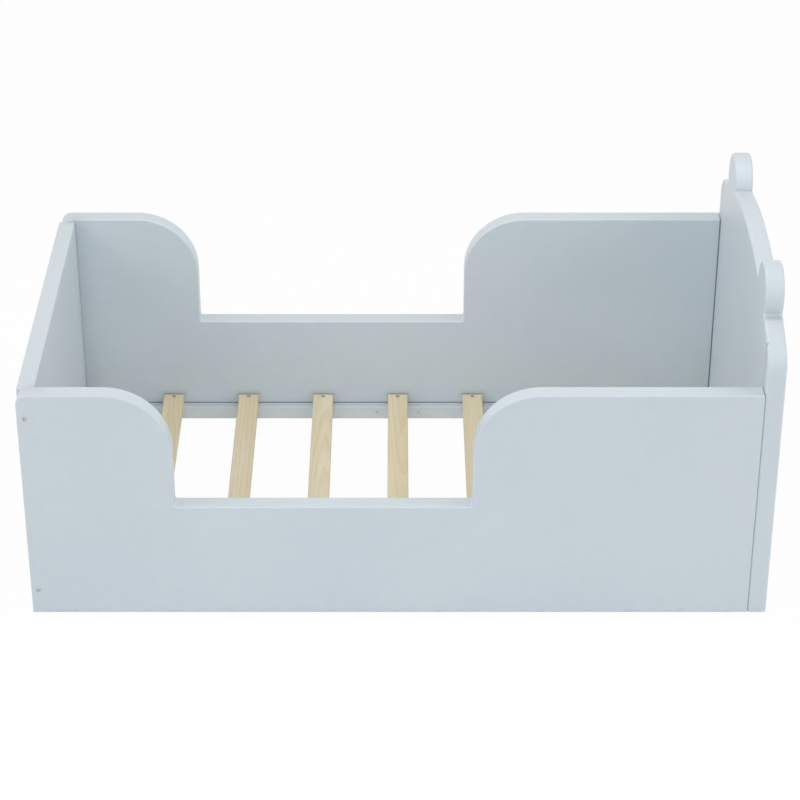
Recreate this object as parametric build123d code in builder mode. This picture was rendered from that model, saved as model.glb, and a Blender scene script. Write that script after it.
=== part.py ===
from build123d import *
import os

os.makedirs("parts", exist_ok=True)

# A toddler floor bed: four boards screwed together round a mattress well, with
# pine slats on two battens. X runs from the foot end to the headboard, Y from
# the front side panel to the back one, Z up from the floor. The origin lies on
# the floor under the middle of the bed. Sizes are in millimetres.

# Mattress well, between the inner faces of the four boards
well_length = 1354.0
well_width = 700.0

# The side panels and the headboard share one board thickness
board = 36.0

# Side panel: a foot post, a low entry rail and a head post
side_height = 484.0
side_edge_round = 3.0
rail_height = 241.0
foot_post = 284.0
head_post = 536.0
post_round = 125.0
foot_corner_round = 21.0
notch_round = 5.0

# Foot panel: thinner and a little lower than the side panels, and it stands
# slightly out from their ends
foot_board = 33.0
foot_height = 479.5
foot_proud = 2.0
foot_edge_round = 2.5

# Headboard: straight sides, one wide crown arc and a round ear near each side
shoulder_height = 560.5
shoulder_round = 48.0
crown_height = 648.5
ear_radius = 54.5
ear_centre_height = 629.0
ear_inset = 147.5
ear_crease_round = 1.5
head_edge_round = 6.0

# Slats and the battens that carry them
slat_count = 9
slat_width = 43.0
slat_thickness = 22.0
slat_edge_round = 2.0
slat_end_gap = 1.5
slat_row_gap = 5.8
batten_thickness = 20.0
batten_height = 28.0
batten_lift = 12.0
batten_end_gap = 1.0
batten_edge_round = 1.0

# Joint screws with a hexagon socket, and how far they keep from a panel's edge
joint_screw_length = 70.0
joint_shank_radius = 3.5
joint_head_radius = 5.0
joint_socket_width = 4.0
joint_socket_depth = 3.0
joint_screw_margin = 50.0

# Wood screws with a cross recess, for the slats and the battens
slat_screw_length = 35.0
batten_screw_length = 40.0
wood_shank_radius = 2.1
wood_head_radius = 4.2
cross_length = 4.6
cross_width = 0.9
cross_depth = 1.6
batten_screw_margin = 45.0

# Wooden dowels across each corner joint, in pairs about the panel's middle
dowel_radius = 4.0
dowel_length = 40.0
dowel_spread = 160.0
dowel_chamfer = 1.0

# Fits: heads lie just below the surface, and every hole is a little too large
head_rim = 0.4
head_sink = 0.4
screw_fit = 0.1
point_gap = 1.0
dowel_fit = 0.1
dowel_end_gap = 0.5

# Places that follow from the sizes above
foot_face = -(foot_board + well_length + board) / 2
foot_inner = foot_face + foot_board
head_inner = foot_inner + well_length
head_face = head_inner + board
well_middle = (foot_inner + head_inner) / 2
side_end = foot_face + foot_proud
side_length = head_inner - side_end
inner_y = well_width / 2
outer_y = inner_y + board
entry_length = side_length - foot_post - head_post
batten_top = batten_lift + batten_height
slat_length = well_width - 2 * slat_end_gap
slat_run = well_length - 2 * slat_row_gap - slat_width
slat_pitch = slat_run / (slat_count - 1)
first_slat = well_middle - slat_run / 2
slat_places = [first_slat + number * slat_pitch for number in range(slat_count)]
joint_heights = [joint_screw_margin, side_height - joint_screw_margin]
dowel_heights = [(side_height - dowel_spread) / 2, (side_height + dowel_spread) / 2]
batten_half = well_length / 2 - batten_end_gap
batten_screw_places = [
    well_middle + side * place
    for side in (-1, 1)
    for place in (batten_screw_margin, batten_half / 2, batten_half - batten_screw_margin)
]

# Holes that go with the screws and dowels
joint_hole_depth = head_sink + joint_screw_length + point_gap
joint_hole_radius = joint_shank_radius + screw_fit
joint_seat_radius = joint_head_radius + head_rim + head_sink + screw_fit
wood_hole_radius = wood_shank_radius + screw_fit
wood_seat_radius = wood_head_radius + head_rim + head_sink + screw_fit
slat_hole_depth = head_sink + slat_screw_length + point_gap
batten_hole_depth = head_sink + batten_screw_length + point_gap
dowel_hole_radius = dowel_radius + dowel_fit
dowel_hole_depth = dowel_length / 2 + dowel_end_gap

# Screw and dowel places along the front of the bed. Each is a plane on the
# surface that a head lies in, or on the joint that a dowel crosses, and its
# normal points out of the hole.
foot_screw_spots = [
    Plane(origin=(foot_face + foot_board / 2, -outer_y, height), x_dir=(1, 0, 0), z_dir=(0, -1, 0))
    for height in joint_heights
]
foot_dowel_spots = [
    Plane(origin=(foot_face + foot_board / 2, -inner_y, height), x_dir=(1, 0, 0), z_dir=(0, -1, 0))
    for height in dowel_heights
]
head_screw_spots = [
    Plane(origin=(head_face, -inner_y - board / 2, height), x_dir=(0, 1, 0), z_dir=(1, 0, 0))
    for height in joint_heights
]
head_dowel_spots = [
    Plane(origin=(head_inner, -inner_y - board / 2, height), x_dir=(0, 1, 0), z_dir=(1, 0, 0))
    for height in dowel_heights
]
slat_screw_spots = [
    Plane(origin=(place, -inner_y + batten_thickness / 2, batten_top + slat_thickness))
    for place in slat_places
]
batten_screw_spots = [
    Plane(
        origin=(place, -inner_y + batten_thickness, batten_lift + batten_height / 2),
        x_dir=(1, 0, 0),
        z_dir=(0, 1, 0),
    )
    for place in batten_screw_places
]


def at_back(spots):
    """The same places, mirrored to the back of the bed."""
    return [
        Plane(
            origin=(spot.origin.X, -spot.origin.Y, spot.origin.Z),
            x_dir=(spot.x_dir.X, -spot.x_dir.Y, spot.x_dir.Z),
            z_dir=(spot.z_dir.X, -spot.z_dir.Y, spot.z_dir.Z),
        )
        for spot in spots
    ]


def sunk(spots):
    """Where the tops of the screw heads lie, below the surface."""
    return [spot.offset(-head_sink) for spot in spots]


def save(part, name):
    """Labels a finished piece and writes it to its own file."""
    part.label = name
    export_step(part, f"parts/{name}.step")


# Side panels. The notch that a child climbs in by is cut down to the entry
# rail, and the two post tops beside it are rounded off in wide arcs. Both faces'
# edges are rounded, except on the floor, and so is the top edge at the headboard.
with BuildPart() as side_panel_front:
    with BuildSketch(Plane.XZ.offset(inner_y)) as side_outline:
        with Locations((side_end, 0)):
            Rectangle(side_length, side_height, align=(Align.MIN, Align.MIN))
        with Locations((side_end + foot_post, rail_height)):
            Rectangle(
                entry_length,
                side_height - rail_height,
                align=(Align.MIN, Align.MIN),
                mode=Mode.SUBTRACT,
            )
        fillet(side_outline.vertices().group_by(Axis.Y)[-1].sort_by(Axis.X)[1:3], post_round)
        fillet(side_outline.vertices().group_by(Axis.Y)[1], notch_round)
        fillet(side_outline.vertices().group_by(Axis.Y)[-1].sort_by(Axis.X)[0], foot_corner_round)
    extrude(amount=board)
    face_edges = side_panel_front.faces().filter_by(Axis.Y).edges()
    floor_edges = face_edges.group_by(Axis.Z)[0]
    head_end = side_panel_front.faces().sort_by(Axis.X)[-1]
    head_top_edge = head_end.edges().sort_by(Axis.Z)[-1]
    fillet(face_edges - floor_edges + [head_top_edge], side_edge_round)
    with Locations(foot_screw_spots):
        CounterSinkHole(joint_hole_radius, joint_seat_radius, joint_hole_depth, 90)
    with Locations(foot_dowel_spots, head_dowel_spots):
        Hole(dowel_hole_radius, dowel_hole_depth)
    with Locations(head_screw_spots):
        Hole(joint_hole_radius, joint_hole_depth)
    with Locations(batten_screw_spots):
        Hole(wood_hole_radius, batten_hole_depth)
side_panel_front.part.label = "side_panel_front"
export_step(side_panel_front.part, "parts/side_panel_front.step")

# Foot panel, held between the ends of the side panels, with all its edges rounded
# but those that stand on the floor
with BuildPart() as foot_panel:
    with BuildSketch(Plane.YZ.offset(foot_face)):
        Rectangle(well_width, foot_height, align=(Align.CENTER, Align.MIN))
    extrude(amount=foot_board)
    floor_edges = foot_panel.edges().group_by(Axis.Z)[0]
    fillet(foot_panel.edges() - floor_edges, foot_edge_round)
    with Locations(foot_screw_spots, at_back(foot_screw_spots)):
        Hole(joint_hole_radius, joint_hole_depth)
    with Locations(foot_dowel_spots, at_back(foot_dowel_spots)):
        Hole(dowel_hole_radius, dowel_hole_depth)
foot_panel.part.label = "foot_panel"
export_step(foot_panel.part, "parts/foot_panel.step")

# Headboard, behind the ends of the side panels and flush with their outer faces.
# Each ear's circle starts at its lowest point, which lies inside the board. Both
# faces' edges are rounded, except on the floor.
ear_y = outer_y - ear_inset
with BuildPart() as headboard:
    with BuildSketch(Plane.YZ.offset(head_inner)) as head_outline:
        with BuildLine():
            Polyline(
                (-outer_y, shoulder_height),
                (-outer_y, 0),
                (outer_y, 0),
                (outer_y, shoulder_height),
            )
            ThreePointArc(
                (-outer_y, shoulder_height),
                (0, crown_height),
                (outer_y, shoulder_height),
            )
        make_face()
        fillet(head_outline.vertices().group_by(Axis.Y)[-1], shoulder_round)
        with Locations(
            Location((-ear_y, ear_centre_height), -90),
            Location((ear_y, ear_centre_height), -90),
        ):
            Circle(ear_radius)
        creases = head_outline.vertices().filter_by(
            lambda corner: abs(
                Vector(abs(corner.X) - ear_y, corner.Y - ear_centre_height).length - ear_radius
            )
            < ear_crease_round / 100
        )
        fillet(creases, ear_crease_round)
    extrude(amount=board)
    face_edges = headboard.faces().filter_by(Axis.X).edges()
    floor_edges = face_edges.group_by(Axis.Z)[0]
    fillet(face_edges - floor_edges, head_edge_round)
    with Locations(head_screw_spots, at_back(head_screw_spots)):
        CounterSinkHole(joint_hole_radius, joint_seat_radius, joint_hole_depth, 90)
    with Locations(head_dowel_spots, at_back(head_dowel_spots)):
        Hole(dowel_hole_radius, dowel_hole_depth)
headboard.part.label = "headboard"
export_step(headboard.part, "parts/headboard.step")

# Battens, screwed along the foot of each side panel. The slats lie on them.
with BuildPart() as slat_batten_front:
    with BuildSketch(Plane.XZ.offset(inner_y - batten_thickness)):
        with Locations((well_middle, batten_lift)):
            Rectangle(2 * batten_half, batten_height, align=(Align.CENTER, Align.MIN))
    extrude(amount=batten_thickness)
    fillet(slat_batten_front.edges().filter_by(Axis.X), batten_edge_round)
    with Locations(batten_screw_spots):
        CounterSinkHole(wood_hole_radius, wood_seat_radius, batten_hole_depth, 90)
    with Locations(slat_screw_spots):
        Hole(wood_hole_radius, slat_hole_depth)
slat_batten_front.part.label = "slat_batten_front"
export_step(slat_batten_front.part, "parts/slat_batten_front.step")

# Slats, numbered from the foot end
for number, spot in enumerate(slat_screw_spots, start=1):
    with BuildPart() as slat:
        with BuildSketch(Plane.XY.offset(batten_top)):
            with Locations((spot.origin.X, 0)):
                Rectangle(slat_width, slat_length)
        extrude(amount=slat_thickness)
        fillet(slat.edges(), slat_edge_round)
        with Locations(spot, at_back([spot])):
            CounterSinkHole(wood_hole_radius, wood_seat_radius, slat_hole_depth, 90)
    save(slat.part, f"slat_{number}")


def countersunk_screw(head_radius, shank_radius, length, recess, recess_depth):
    """One screw, the top of its head at the origin and its point down the Z axis."""
    neck_depth = head_rim + head_radius - shank_radius
    point_start = length - 2 * shank_radius
    with BuildPart() as screw:
        with BuildSketch(Plane.XZ):
            with BuildLine():
                Polyline(
                    (0, 0),
                    (head_radius, 0),
                    (head_radius, -head_rim),
                    (shank_radius, -neck_depth),
                    (shank_radius, -point_start),
                    (shank_radius / 4, -length),
                    (0, -length),
                    close=True,
                )
            make_face()
        revolve(axis=Axis.Z)
        extrude(recess, amount=-recess_depth, mode=Mode.SUBTRACT)
    return screw.part


with BuildSketch() as hexagon_socket:
    RegularPolygon(joint_socket_width / 2, 6, major_radius=False)
with BuildSketch() as cross_recess:
    Rectangle(cross_length, cross_width)
    Rectangle(cross_width, cross_length)

joint_screw = countersunk_screw(
    joint_head_radius,
    joint_shank_radius,
    joint_screw_length,
    hexagon_socket.sketch,
    joint_socket_depth,
)
slat_screw = countersunk_screw(
    wood_head_radius,
    wood_shank_radius,
    slat_screw_length,
    cross_recess.sketch,
    cross_depth,
)
batten_screw = countersunk_screw(
    wood_head_radius,
    wood_shank_radius,
    batten_screw_length,
    cross_recess.sketch,
    cross_depth,
)

# One dowel, upright and centred on the joint that it crosses
with BuildPart() as dowel:
    Cylinder(dowel_radius, dowel_length)
    chamfer(dowel.edges().filter_by(GeomType.CIRCLE), dowel_chamfer)

# Fasteners along the front, each kind in one group
front_groups = {
    "foot_joint_screws_front": (joint_screw, sunk(foot_screw_spots)),
    "headboard_screws_front": (joint_screw, sunk(head_screw_spots)),
    "foot_dowels_front": (dowel.part, foot_dowel_spots),
    "headboard_dowels_front": (dowel.part, head_dowel_spots),
    "slat_screws_front": (slat_screw, sunk(slat_screw_spots)),
    "batten_screws_front": (batten_screw, sunk(batten_screw_spots)),
}
fasteners = {}
for name, (fastener, spots) in front_groups.items():
    with BuildPart() as group:
        with Locations(spots):
            add(fastener)
    save(group.part, name)
    fasteners[name] = group.part

# The back of the bed mirrors the front
mirrored = {
    "side_panel_front": side_panel_front.part,
    "slat_batten_front": slat_batten_front.part,
    **fasteners,
}
for name, front_part in mirrored.items():
    with BuildPart() as twin:
        mirror(front_part, about=Plane.XZ)
    save(twin.part, name.replace("_front", "_back"))
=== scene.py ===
import math

import bpy
import numpy as np
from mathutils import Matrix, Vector


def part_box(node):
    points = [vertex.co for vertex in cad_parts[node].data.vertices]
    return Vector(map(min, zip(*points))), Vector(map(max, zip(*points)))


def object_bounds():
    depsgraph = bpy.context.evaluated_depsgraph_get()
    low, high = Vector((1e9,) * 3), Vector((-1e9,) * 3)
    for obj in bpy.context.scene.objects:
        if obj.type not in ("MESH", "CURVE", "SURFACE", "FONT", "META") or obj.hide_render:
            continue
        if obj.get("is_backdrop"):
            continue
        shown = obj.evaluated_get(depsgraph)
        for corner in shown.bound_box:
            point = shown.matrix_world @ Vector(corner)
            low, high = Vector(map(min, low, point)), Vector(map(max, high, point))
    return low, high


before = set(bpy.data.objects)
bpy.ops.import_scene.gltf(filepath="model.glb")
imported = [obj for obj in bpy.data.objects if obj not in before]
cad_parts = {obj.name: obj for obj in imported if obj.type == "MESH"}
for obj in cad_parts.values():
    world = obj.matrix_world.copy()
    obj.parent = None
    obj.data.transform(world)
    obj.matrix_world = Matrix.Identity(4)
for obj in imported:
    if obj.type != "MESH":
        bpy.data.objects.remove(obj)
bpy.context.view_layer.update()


# Side panels. Each is one sprayed board that runs the whole length of the bed and
# stops at the headboard. The foot post, the low entry rail and the head post are cut
# from it in one outline, and all its face edges are rounded before it is painted.
def start_finish(name):
    """A new node material whose shader is already joined to its output."""
    finish = bpy.data.materials.new(name)
    finish.use_nodes = True
    tree = finish.node_tree
    tree.nodes.clear()
    shader = tree.nodes.new("ShaderNodeBsdfPrincipled")
    output = tree.nodes.new("ShaderNodeOutputMaterial")
    tree.links.new(shader.outputs["BSDF"], output.inputs["Surface"])
    return finish, tree, shader


def wire(tree, value, socket):
    """Gives an input either another node's output or a plain number."""
    if isinstance(value, bpy.types.NodeSocket):
        tree.links.new(value, socket)
    else:
        socket.default_value = value


def sums(tree, operation, first, second=0.0):
    """One Math node on two values."""
    node = tree.nodes.new("ShaderNodeMath")
    node.operation = operation
    wire(tree, first, node.inputs[0])
    wire(tree, second, node.inputs[1])
    return node.outputs[0]


def distance(tree, offsets):
    """How far a point lies from a place, from its offsets along two or three axes."""
    squared = 0.0
    for offset in offsets:
        squared = sums(tree, "ADD", sums(tree, "MULTIPLY", offset, offset), squared)
    return sums(tree, "SQRT", squared)


def spread(tree, value, start, end, low=0.0, high=1.0):
    """A smooth step: low up to start, high from end on, and an S curve between them."""
    node = tree.nodes.new("ShaderNodeMapRange")
    node.interpolation_type = "SMOOTHSTEP"
    wire(tree, value, node.inputs["Value"])
    node.inputs["From Min"].default_value = start
    node.inputs["From Max"].default_value = end
    node.inputs["To Min"].default_value = low
    node.inputs["To Max"].default_value = high
    return node.outputs["Result"]


def grains(tree, place, per_metre, detail=2.0, shift=0.0):
    """Noise with its own number of grains per metre along X, Y and Z."""
    stretch = tree.nodes.new("ShaderNodeMapping")
    stretch.inputs["Scale"].default_value = per_metre
    stretch.inputs["Location"].default_value = (shift, shift * 0.7, shift * 0.4)
    noise = tree.nodes.new("ShaderNodeTexNoise")
    noise.inputs["Scale"].default_value = 1.0
    noise.inputs["Detail"].default_value = detail
    tree.links.new(place, stretch.inputs["Vector"])
    tree.links.new(stretch.outputs["Vector"], noise.inputs["Vector"])
    return noise.outputs["Fac"]


def blended(tree, amount, first, second):
    """Two colours mixed by an amount from 0 to 1."""
    node = tree.nodes.new("ShaderNodeMix")
    node.data_type = "RGBA"
    wire(tree, amount, node.inputs["Factor"])
    wire(tree, first, node.inputs["A"])
    wire(tree, second, node.inputs["B"])
    return node.outputs["Result"]


def raised(tree, height, metres, below=None):
    """A bump of so many metres where the height is 1, over an earlier bump if there is one."""
    node = tree.nodes.new("ShaderNodeBump")
    node.inputs["Strength"].default_value = 1.0
    node.inputs["Distance"].default_value = metres
    wire(tree, height, node.inputs["Height"])
    if below is not None:
        wire(tree, below, node.inputs["Normal"])
    return node.outputs["Normal"]


paint_even = (0.644, 0.717, 0.772, 1.0)
paint_deep = (0.615, 0.690, 0.748, 1.0)
# Paler paint, for rubbed wear on the edges and as painted light that makes the battens paler
paint_worn_and_lit = (0.701, 0.761, 0.800, 1.0)
# Darker paint for faces that point up, as painted shade
paint_top_shade = (0.603, 0.669, 0.699, 1.0)
# Near-black for painted shade in joints and creases
painted_shade_colour = (0.095, 0.110, 0.125, 1.0)
# Darker paint for patches in the lowest few millimetres
paint_near_floor = (0.519, 0.567, 0.605, 1.0)


# The row of slats, whose ends come up to the side panels
slat_low, slat_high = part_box("slat_5")
slat_half = (slat_high[0] - slat_low[0]) / 2
slat_pitch = slat_low[0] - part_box("slat_4")[0][0]


def painted_shade_along(tree, place, joints):
    """How dark the painted shade is along straight joints between boards, from 0 to 1.

    A joint is given by its place on two or three axes. Y is counted from the bed's middle to
    either side, and "slat" is the distance along X from the side of the nearest slat. The
    painted shade is as dark as the depth within the core distance, and gone at the reach.
    Where two joints meet, the darker shade counts.
    """
    parts = tree.nodes.new("ShaderNodeSeparateXYZ")
    tree.links.new(place, parts.inputs[0])
    along_row = sums(tree, "SUBTRACT", parts.outputs["X"], slat_low[0] + slat_half)
    from_slat = sums(tree, "SUBTRACT", sums(tree, "PINGPONG", along_row, slat_pitch / 2), slat_half)
    across = {
        "X": parts.outputs["X"],
        "Y": sums(tree, "ABSOLUTE", parts.outputs["Y"]),
        "Z": parts.outputs["Z"],
        "slat": sums(tree, "MAXIMUM", from_slat, 0.0),
    }
    painted_shade_depth = 0.0
    for edges, core, reach, depth in joints:
        away = distance(tree, [sums(tree, "SUBTRACT", across[axis], spot) for axis, spot in edges])
        painted_shade_depth = sums(tree, "MAXIMUM", spread(tree, away, core, reach, depth, 0.0), painted_shade_depth)
    return painted_shade_depth


def paint_finish(name, length_axis, thickness_axis, joints, creases=(), painted_lightening=0.0):
    """Sprayed satin paint on a board.

    The colour drifts slowly over a board and has a fine mottle, and a board can be made
    paler as painted light, by an amount from 0 to 1. Round the face edges, where the normal
    leans between the face and the edge, the paint is rubbed thin in places, and the lowest
    few millimetres are darker in patches. Faces that point up are painted darker as painted
    shade, and painted shade lies in the joints with other boards and in creases of the
    board's own edge. The bump is the orange peel of the spray, over faint sanding lines
    along the board.
    """
    finish, tree, shader = start_finish(name)
    source = tree.nodes.new("ShaderNodeTexCoord")
    place = source.outputs["Object"]
    along = [260.0, 260.0, 260.0]
    along[length_axis] = 7.0
    drift = grains(tree, place, (2.3, 2.3, 2.3), 3.0)
    mottle = grains(tree, place, (38.0, 38.0, 38.0), 4.0, 3.1)
    sanding = grains(tree, place, along, 2.0, 5.3)
    peel = grains(tree, place, (520.0, 520.0, 520.0), 1.5, 7.9)
    shade = sums(tree, "ADD", sums(tree, "MULTIPLY", drift, 0.7), sums(tree, "MULTIPLY", mottle, 0.3))
    colour = blended(tree, spread(tree, shade, 0.36, 0.64), paint_deep, paint_even)
    # Painted light: the board is made paler by the given amount
    colour = blended(tree, painted_lightening, colour, paint_worn_and_lit)
    lean = tree.nodes.new("ShaderNodeSeparateXYZ")
    tree.links.new(source.outputs["Normal"], lean.inputs[0])
    facing = sums(tree, "ABSOLUTE", lean.outputs[thickness_axis])
    round_over = sums(
        tree,
        "MULTIPLY",
        spread(tree, facing, 0.12, 0.60),
        spread(tree, facing, 0.82, 0.99, 1.0, 0.0),
    )
    handled = spread(tree, grains(tree, place, (14.0, 14.0, 14.0), 5.0, 1.7), 0.47, 0.66)
    rubbed = sums(tree, "MULTIPLY", round_over, handled)
    colour = blended(tree, sums(tree, "MULTIPLY", rubbed, 0.30), colour, paint_worn_and_lit)
    spot = tree.nodes.new("ShaderNodeSeparateXYZ")
    tree.links.new(place, spot.inputs[0])
    # The lowest few millimetres are darker and rougher in patches
    low_down = spread(tree, spot.outputs["Z"], 0.001, 0.009, 1.0, 0.0)
    near_floor_noise = spread(tree, grains(tree, place, (60.0, 60.0, 160.0), 5.0, 9.4), 0.40, 0.66)
    near_floor_patches = sums(tree, "MULTIPLY", low_down, near_floor_noise)
    colour = blended(tree, sums(tree, "MULTIPLY", near_floor_patches, 0.5), colour, paint_near_floor)
    # Painted shade: faces that point up are made darker
    on_top = spread(tree, lean.outputs["Z"], 0.80, 0.97)
    top_shade = sums(tree, "MULTIPLY", on_top, spread(tree, drift, 0.35, 0.65, 0.6, 0.9))
    colour = blended(tree, top_shade, colour, paint_top_shade)
    # Painted shade in the joints with other boards and in the creases of the board's edge
    off_face = spread(tree, facing, 0.50, 0.90, 1.0, 0.0)
    in_crease = sums(tree, "MULTIPLY", painted_shade_along(tree, place, creases), off_face)
    painted_shade_depth = sums(tree, "MAXIMUM", painted_shade_along(tree, place, joints), in_crease)
    colour = blended(tree, painted_shade_depth, colour, painted_shade_colour)
    tree.links.new(colour, shader.inputs["Base Color"])
    dull = sums(tree, "MULTIPLY_ADD", mottle, 0.10)
    dull.node.inputs[2].default_value = 0.36
    worn = sums(tree, "SUBTRACT", dull, sums(tree, "MULTIPLY", rubbed, 0.08))
    rough = sums(tree, "ADD", worn, sums(tree, "MULTIPLY", near_floor_patches, 0.2))
    tree.links.new(rough, shader.inputs["Roughness"])
    lines = raised(tree, sanding, 0.00002)
    tree.links.new(raised(tree, peel, 0.00004, lines), shader.inputs["Normal"])
    shader.inputs["Specular IOR Level"].default_value = 0.42
    shader.inputs["Coat Weight"].default_value = 0.12
    shader.inputs["Coat Roughness"].default_value = 0.35
    return finish


foot_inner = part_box("foot_panel")[1][0]
head_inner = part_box("headboard")[0][0]
inner_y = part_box("side_panel_back")[0][1]
side_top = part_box("side_panel_back")[1][2]
batten_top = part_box("slat_batten_back")[1][2]
foot_corner = (("X", foot_inner), ("Y", inner_y))
head_corner = (("X", head_inner), ("Y", inner_y))
batten_line = (("Y", inner_y), ("Z", batten_top))
slat_end = (("slat", 0.0), ("Y", inner_y), ("Z", slat_high[2]))
# Painted shade on the side panels at the headboard, the foot panel, above the batten and round each
# slat's end
side_joints = (
    (head_corner, 0.0010, 0.0034, 0.60),
    ((("X", head_inner), ("Z", side_top)), 0.0008, 0.0030, 0.45),
    (foot_corner, 0.0010, 0.0050, 0.24),
    (foot_corner, 0.0010, 0.0400, 0.11),
    (batten_line, 0.0010, 0.0030, 0.60),
    (slat_end, 0.0010, 0.0035, 0.32),
    (slat_end, 0.0020, 0.0140, 0.13),
)
side_paint = paint_finish("side_panel_paint", 0, 1, side_joints)
for node in ("side_panel_front", "side_panel_back"):
    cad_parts[node].material_slots[0].material = side_paint

# Battens. Two strips from the same painted stock are screwed to the inside of the side
# panels, just off the floor, with cross-head screws in countersunk holes. The slats lie
# on them, painted shade lies along their top edges, and their paint is made paler as painted light.
# Painted shade along the battens' top edges, where they meet the side panels
batten_joints = (
    (batten_line, 0.0010, 0.0030, 0.60),
    (batten_line, 0.0060, 0.0300, 0.15),
)
# The battens' paint is made paler, as painted light
batten_paint = paint_finish("batten_paint", 0, 1, batten_joints, painted_lightening=0.9)
for node in ("slat_batten_front", "slat_batten_back"):
    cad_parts[node].material_slots[0].material = batten_paint


def steel_finish(name, colour, tint, rough):
    """Plated steel: a cloudy plating with some tarnish, over fine turning marks."""
    finish, tree, shader = start_finish(name)
    place = tree.nodes.new("ShaderNodeTexCoord").outputs["Object"]
    cloud = grains(tree, place, (320.0, 320.0, 320.0), 4.0)
    marks = grains(tree, place, (2600.0, 2600.0, 2600.0), 2.0, 2.2)
    tarnish = spread(tree, cloud, 0.35, 0.65)
    tree.links.new(blended(tree, tarnish, tint, colour), shader.inputs["Base Color"])
    polish = sums(tree, "MULTIPLY_ADD", cloud, 0.22)
    polish.node.inputs[2].default_value = rough
    tree.links.new(polish, shader.inputs["Roughness"])
    tree.links.new(raised(tree, marks, 0.00003), shader.inputs["Normal"])
    shader.inputs["Metallic"].default_value = 1.0
    return finish


zinc = (0.58, 0.59, 0.61, 1.0)
zinc_dull = (0.42, 0.43, 0.46, 1.0)
wood_screw_steel = steel_finish("wood_screw_plating", zinc, zinc_dull, 0.24)
for node in ("batten_screws_front", "batten_screws_back"):
    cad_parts[node].material_slots[0].material = wood_screw_steel

# Foot panel. A plain board, a little lower than the side panels, held between their ends.
# Two beech dowels at each end keep it in line, and two long screws through the side
# panel draw it tight. The screw heads have a hexagon socket and sit just below the paint.
# Painted shade in the foot panel's corners with the side panels
foot_joint = (foot_corner, 0.0020, 0.0300, 0.14)
foot_paint = paint_finish("foot_panel_paint", 1, 0, (foot_joint,))
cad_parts["foot_panel"].material_slots[0].material = foot_paint


beech_early = (0.78, 0.60, 0.41, 1.0)
beech_late = (0.66, 0.47, 0.29, 1.0)
beech_fleck = (0.42, 0.26, 0.14, 1.0)


def beech_finish(name, length_axis):
    """Turned beech: pale wood with short dark flecks that lie along the dowel."""
    finish, tree, shader = start_finish(name)
    place = tree.nodes.new("ShaderNodeTexCoord").outputs["Object"]
    fibre = [1400.0, 1400.0, 1400.0]
    fibre[length_axis] = 45.0
    fleck = [700.0, 700.0, 700.0]
    fleck[length_axis] = 160.0
    strands = grains(tree, place, fibre, 3.0)
    flecks = spread(tree, grains(tree, place, fleck, 2.0, 4.4), 0.58, 0.66)
    wood = blended(tree, strands, beech_late, beech_early)
    wood = blended(tree, sums(tree, "MULTIPLY", flecks, 0.6), wood, beech_fleck)
    tree.links.new(wood, shader.inputs["Base Color"])
    tree.links.new(spread(tree, strands, 0.3, 0.7, 0.5, 0.65), shader.inputs["Roughness"])
    tree.links.new(raised(tree, strands, 0.00004), shader.inputs["Normal"])
    return finish


cross_dowel = beech_finish("foot_dowel_beech", 1)
bright_zinc = (0.63, 0.64, 0.68, 1.0)
bright_zinc_dull = (0.47, 0.48, 0.52, 1.0)
joint_steel = steel_finish("joint_screw_plating", bright_zinc, bright_zinc_dull, 0.24)
for node in ("foot_dowels_front", "foot_dowels_back"):
    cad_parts[node].material_slots[0].material = cross_dowel
for node in ("foot_joint_screws_front", "foot_joint_screws_back"):
    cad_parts[node].material_slots[0].material = joint_steel

# Headboard. One board the full width of the bed, standing behind the side panels' ends.
# Its top is a wide arc with a round ear near each side, sawn in one outline, and its
# edges have a larger round than the other boards. Its screws go in from the back.
# Painted shade in the headboard's corners with the side panels and in the creases under the ears
head_joint = (head_corner, 0.0010, 0.0060, 0.40)
ear_to_crown = (("Y", 0.184), ("Z", 0.629))
ear_to_shoulder = (("Y", 0.293), ("Z", 0.595))
ear_creases = (
    (ear_to_crown, 0.0010, 0.0070, 0.24),
    (ear_to_shoulder, 0.0015, 0.0095, 0.33),
)
head_paint = paint_finish("headboard_paint", 1, 0, (head_joint,), ear_creases)
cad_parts["headboard"].material_slots[0].material = head_paint
length_dowel = beech_finish("headboard_dowel_beech", 0)
for node in ("headboard_dowels_front", "headboard_dowels_back"):
    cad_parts[node].material_slots[0].material = length_dowel
for node in ("headboard_screws_front", "headboard_screws_back"):
    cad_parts[node].material_slots[0].material = joint_steel

# Slats. Nine planed pine slats lie across the battens, screwed down at each end with one
# cross-head screw. They are left the colour of the wood under a thin clear coat, and no
# two are sawn from the same place in the log, so the grain differs from slat to slat.
slat_count = 9
ring_width = 0.0034
pine_early = (0.766, 0.667, 0.447, 1.0)
pine_late = (0.661, 0.519, 0.309, 1.0)
pine_sap = (0.815, 0.732, 0.537, 1.0)
pine_resin = (0.498, 0.358, 0.196, 1.0)
# Dark colour for painted shade at the slat ends
pine_painted_shade = (0.210, 0.165, 0.115, 1.0)
end_joint = ((("Y", inner_y), ("Z", slat_high[2])), 0.0015, 0.0050, 0.42)
logs = np.random.default_rng(11)


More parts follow.
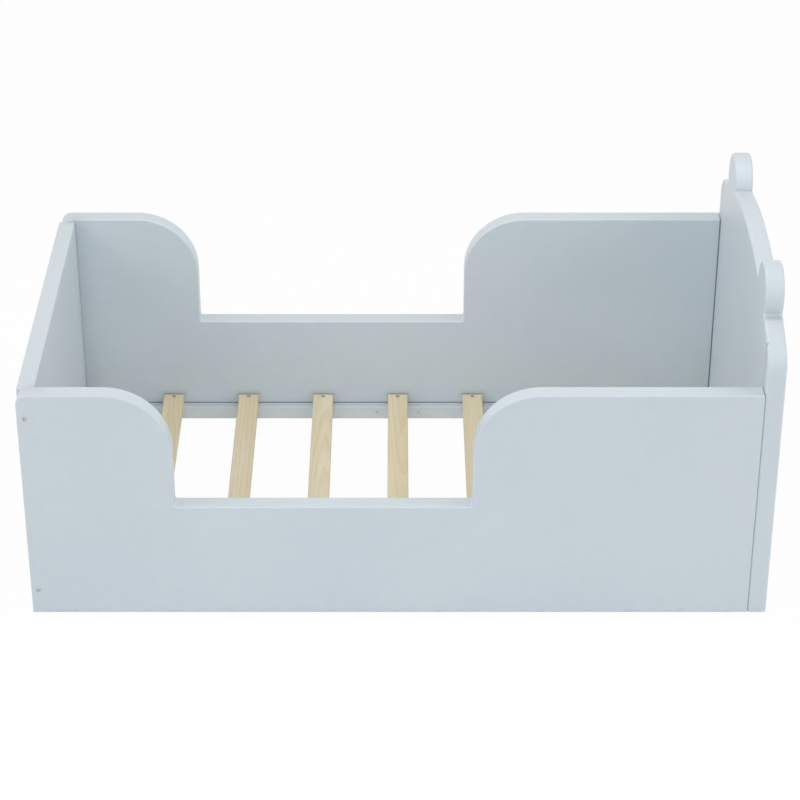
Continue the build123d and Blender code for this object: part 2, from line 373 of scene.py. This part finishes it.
def pine_finish(name, centre, pith, turn):
    """Planed pine, sawn from a log whose middle runs along Y at some distance from the slat.

    The distance to the middle of the log, pushed about by slow noise that is stretched along
    the slat, is counted in growth rings. Each ring goes slowly from pale to dark and back at
    once. Fine fibres, short resin lines and a broad pale band of sapwood lie over the rings,
    and painted shade darkens the ends, next to the side panels.
    """
    finish, tree, shader = start_finish(name)
    place = tree.nodes.new("ShaderNodeTexCoord").outputs["Object"]
    log = tree.nodes.new("ShaderNodeMapping")
    log.vector_type = "TEXTURE"
    log.inputs["Location"].default_value = (centre[0] + pith[0], 0.0, centre[2] + pith[1])
    log.inputs["Rotation"].default_value = (math.radians(turn[0]), 0.0, math.radians(turn[1]))
    tree.links.new(place, log.inputs["Vector"])
    across = tree.nodes.new("ShaderNodeSeparateXYZ")
    tree.links.new(log.outputs["Vector"], across.inputs[0])
    radius = distance(tree, (across.outputs["X"], across.outputs["Z"]))
    shift = 10.0 * centre[0]
    sway = grains(tree, place, (26.0, 2.6, 26.0), 2.0, shift)
    pushed = sums(tree, "MULTIPLY_ADD", sway, 0.0085)
    tree.links.new(radius, pushed.node.inputs[2])
    ring = sums(tree, "FRACT", sums(tree, "DIVIDE", pushed, ring_width))
    late = sums(
        tree,
        "MULTIPLY",
        spread(tree, ring, 0.25, 0.86),
        spread(tree, ring, 0.90, 1.0, 1.0, 0.0),
    )
    strands = grains(tree, place, (1150.0, 16.0, 1150.0), 3.0, shift)
    tone = grains(tree, place, (24.0, 1.1, 24.0), 2.0, shift + 4.0)
    resin = spread(tree, grains(tree, place, (620.0, 26.0, 620.0), 1.0, shift + 8.0), 0.68, 0.75)
    wood = blended(tree, spread(tree, tone, 0.40, 0.68), pine_early, pine_sap)
    wood = blended(tree, sums(tree, "MULTIPLY", late, 0.34), wood, pine_late)
    wood = blended(tree, spread(tree, strands, 0.30, 0.70, 0.16, 0.0), wood, pine_late)
    wood = blended(tree, sums(tree, "MULTIPLY", resin, 0.35), wood, pine_resin)
    # Painted shade over the slat's ends, next to the side panels
    wood = blended(tree, painted_shade_along(tree, place, (end_joint,)), wood, pine_painted_shade)
    tree.links.new(wood, shader.inputs["Base Color"])
    polished = sums(tree, "MULTIPLY", late, 0.06)
    sheen = sums(tree, "SUBTRACT", spread(tree, strands, 0.3, 0.7, 0.56, 0.48), polished)
    tree.links.new(sheen, shader.inputs["Roughness"])
    rings = raised(tree, late, 0.00006)
    tree.links.new(raised(tree, strands, 0.00005, rings), shader.inputs["Normal"])
    shader.inputs["Specular IOR Level"].default_value = 0.4
    return finish


for number in range(1, slat_count + 1):
    node = f"slat_{number}"
    low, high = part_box(node)
    pith = (logs.uniform(-0.035, 0.035), -logs.uniform(0.035, 0.085))
    turn = (logs.uniform(-1.6, 1.6), logs.uniform(-0.8, 0.8))
    wood = pine_finish(f"slat_{number}_pine", (low + high) / 2, pith, turn)
    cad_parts[node].material_slots[0].material = wood
for node in ("slat_screws_front", "slat_screws_back"):
    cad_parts[node].material_slots[0].material = wood_screw_steel

# Studio. The bed stands on a plain white floor under an even white sky, as in a
# catalogue picture, with wide soft lamps round it. The camera looks down at the front
# of the bed from a little to the foot side of its middle.
floor_reach = 30.0
floor_whiteness = 0.96
corners = np.array([[-1.0, -1.0, 0.0], [1.0, -1.0, 0.0], [1.0, 1.0, 0.0], [-1.0, 1.0, 0.0]])
floor_mesh = bpy.data.meshes.new("floor")
floor_mesh.from_pydata((corners * floor_reach).tolist(), [], [(0, 1, 2, 3)])
floor = bpy.data.objects.new("floor", floor_mesh)
bpy.context.scene.collection.objects.link(floor)
floor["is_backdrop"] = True


def seen_directly(tree):
    """1 for a ray from the camera, or one mirrored or passed through by a piece, and 0 otherwise."""
    path = tree.nodes.new("ShaderNodeLightPath")
    mirrored = sums(tree, "MAXIMUM", path.outputs["Is Camera Ray"], path.outputs["Is Glossy Ray"])
    return sums(tree, "MAXIMUM", mirrored, path.outputs["Is Transmission Ray"])


floor_finish = bpy.data.materials.new("floor_white")
floor_finish.use_nodes = True
floor_tree = floor_finish.node_tree
floor_tree.nodes.clear()
matt = floor_tree.nodes.new("ShaderNodeBsdfDiffuse")
matt.inputs["Color"].default_value = (0.90, 0.90, 0.90, 1.0)
plain = floor_tree.nodes.new("ShaderNodeEmission")
plain.inputs["Color"].default_value = (1.0, 1.0, 1.0, 1.0)
plain.inputs["Strength"].default_value = 1.0
floor_mix = floor_tree.nodes.new("ShaderNodeMixShader")
floor_output = floor_tree.nodes.new("ShaderNodeOutputMaterial")
whitened = sums(floor_tree, "MULTIPLY", seen_directly(floor_tree), floor_whiteness)
floor_tree.links.new(whitened, floor_mix.inputs["Fac"])
floor_tree.links.new(matt.outputs["BSDF"], floor_mix.inputs[1])
floor_tree.links.new(plain.outputs["Emission"], floor_mix.inputs[2])
floor_tree.links.new(floor_mix.outputs["Shader"], floor_output.inputs["Surface"])
floor_mesh.materials.append(floor_finish)

sky = bpy.data.worlds.new("studio_sky")
sky.use_nodes = True
sky_tree = sky.node_tree
sky_light = sky_tree.nodes["Background"]
sky_light.inputs["Color"].default_value = (1.0, 1.0, 1.0, 1.0)
sky_level = 0.54
sky_strength = sums(sky_tree, "MULTIPLY_ADD", seen_directly(sky_tree), 1.0 - sky_level)
sky_strength.node.inputs[2].default_value = sky_level
sky_tree.links.new(sky_strength, sky_light.inputs["Strength"])
bpy.context.scene.world = sky

# Each lamp's name, place, width, depth and watts
lamps = (
    ("front_lamp", (-0.3, -4.2, 3.2), 2.6, 2.6, 38.0),
    ("foot_lamp", (-4.0, -1.2, 3.0), 2.6, 2.6, 49.0),
    ("head_lamp", (4.0, -1.2, 3.0), 2.6, 2.6, 48.0),
    ("overhead_lamp", (0.0, 0.0, 1.5), 1.6, 0.8, 4.0),
)
lit_point = Vector((0.0, 0.0, 0.25))
for name, place, width, depth, watts in lamps:
    light = bpy.data.lights.new(name, "AREA")
    light.shape = "ELLIPSE"
    light.size = width
    light.size_y = depth
    light.energy = watts
    lamp = bpy.data.objects.new(name, light)
    lamp.location = place
    lamp.rotation_euler = (lit_point - Vector(place)).to_track_quat("-Z", "Y").to_euler()
    lamp.visible_camera = False
    bpy.context.scene.collection.objects.link(lamp)

camera_data = bpy.data.cameras.new("camera")
camera_data.lens = 112.93
camera_data.sensor_width = 36.0
camera_data.shift_x = 0.00675
camera = bpy.data.objects.new("camera", camera_data)
camera.location = (-0.0084, -4.3817, 2.8103)
looking_down = 30.292
camera.rotation_euler = (math.radians(90.0 - looking_down), 0.0, 0.0)
bpy.context.scene.collection.objects.link(camera)
bpy.context.scene.camera = camera
bpy.context.scene.view_settings.view_transform = "Standard"

low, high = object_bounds()
